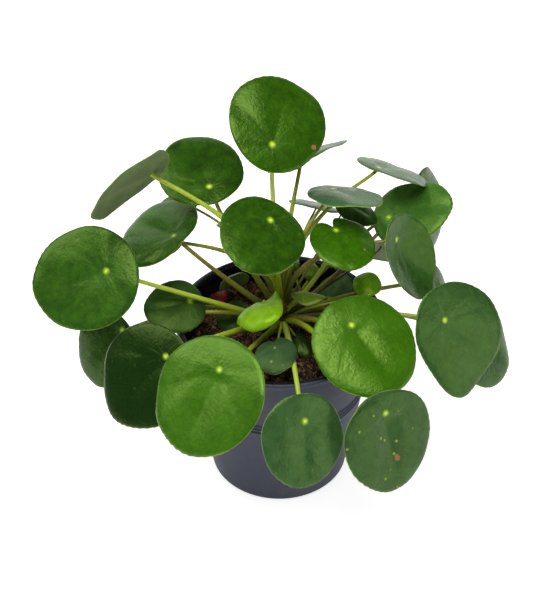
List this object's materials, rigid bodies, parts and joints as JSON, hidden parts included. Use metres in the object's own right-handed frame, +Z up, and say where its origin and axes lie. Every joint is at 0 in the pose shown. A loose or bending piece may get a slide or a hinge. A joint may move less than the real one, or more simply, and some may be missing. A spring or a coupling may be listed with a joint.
{
  "type": "potted chinese money plant",
  "caption": "Potted Pilea peperomioides: round peltate leaves on long arching stalks from one short trunk, in a thin-walled tapered nursery pot filled with potting mix.",
  "frame": {"origin": "centre of the pot's flat underside, where it stands on a surface", "axes": "+Z up along the pot's axis, -Y towards the front, +X to the right seen from the front"},
  "size_m": [0.2762, 0.2107, 0.2396],
  "materials": {
    "pot": "satin thermoformed polypropylene, grey-blue",
    "soil": "matte loose potting mix of bark, peat and coir",
    "stem": "satin green plant stem",
    "leaf": "waxy deep green leaf",
    "young_leaf": "waxy bright green young leaf",
    "withered_leaf": "dry matte red-brown leaf"
  },
  "bodies": {
    "root": {"fallen_leaf": "withered_leaf", "leaf_back_1": "leaf", "leaf_back_2": "leaf", "leaf_back_3": "leaf", "leaf_back_4": "leaf", "leaf_back_5": "leaf", "leaf_back_6": "leaf", "leaf_crown_1": "leaf", "leaf_crown_2": "leaf", "leaf_crown_3": "leaf", "leaf_crown_4": "leaf", "leaf_crown_5": "leaf", "leaf_front_1": "leaf", "leaf_front_2": "leaf", "leaf_front_3": "leaf", "leaf_front_4": "leaf", "leaf_front_5": "leaf", "leaf_inner_1": "young_leaf", "leaf_inner_2": "leaf", "leaf_inner_3": "leaf", "leaf_inner_4": "leaf", "leaf_inner_5": "leaf", "leaf_inner_6": "young_leaf", "leaf_inner_7": "leaf", "leaf_left_1": "leaf", "leaf_left_2": "leaf", "leaf_left_3": "leaf", "leaf_left_4": "leaf", "leaf_left_5": "leaf", "leaf_left_6": "leaf", "leaf_left_7": "leaf", "leaf_left_8": "leaf", "leaf_offset_1": "young_leaf", "leaf_offset_2": "leaf", "leaf_offset_3": "leaf", "leaf_right_1": "leaf", "leaf_right_2": "leaf", "leaf_right_3": "leaf", "leaf_right_4": "leaf", "leaf_right_5": "leaf", "leaf_right_6": "leaf", "leaf_right_7": "leaf", "leaf_right_8": "young_leaf", "leaf_right_9": "leaf", "offset_stem": "stem", "pot": "pot", "soil": "soil", "stem": "stem"}
  },
  "joints": []
}
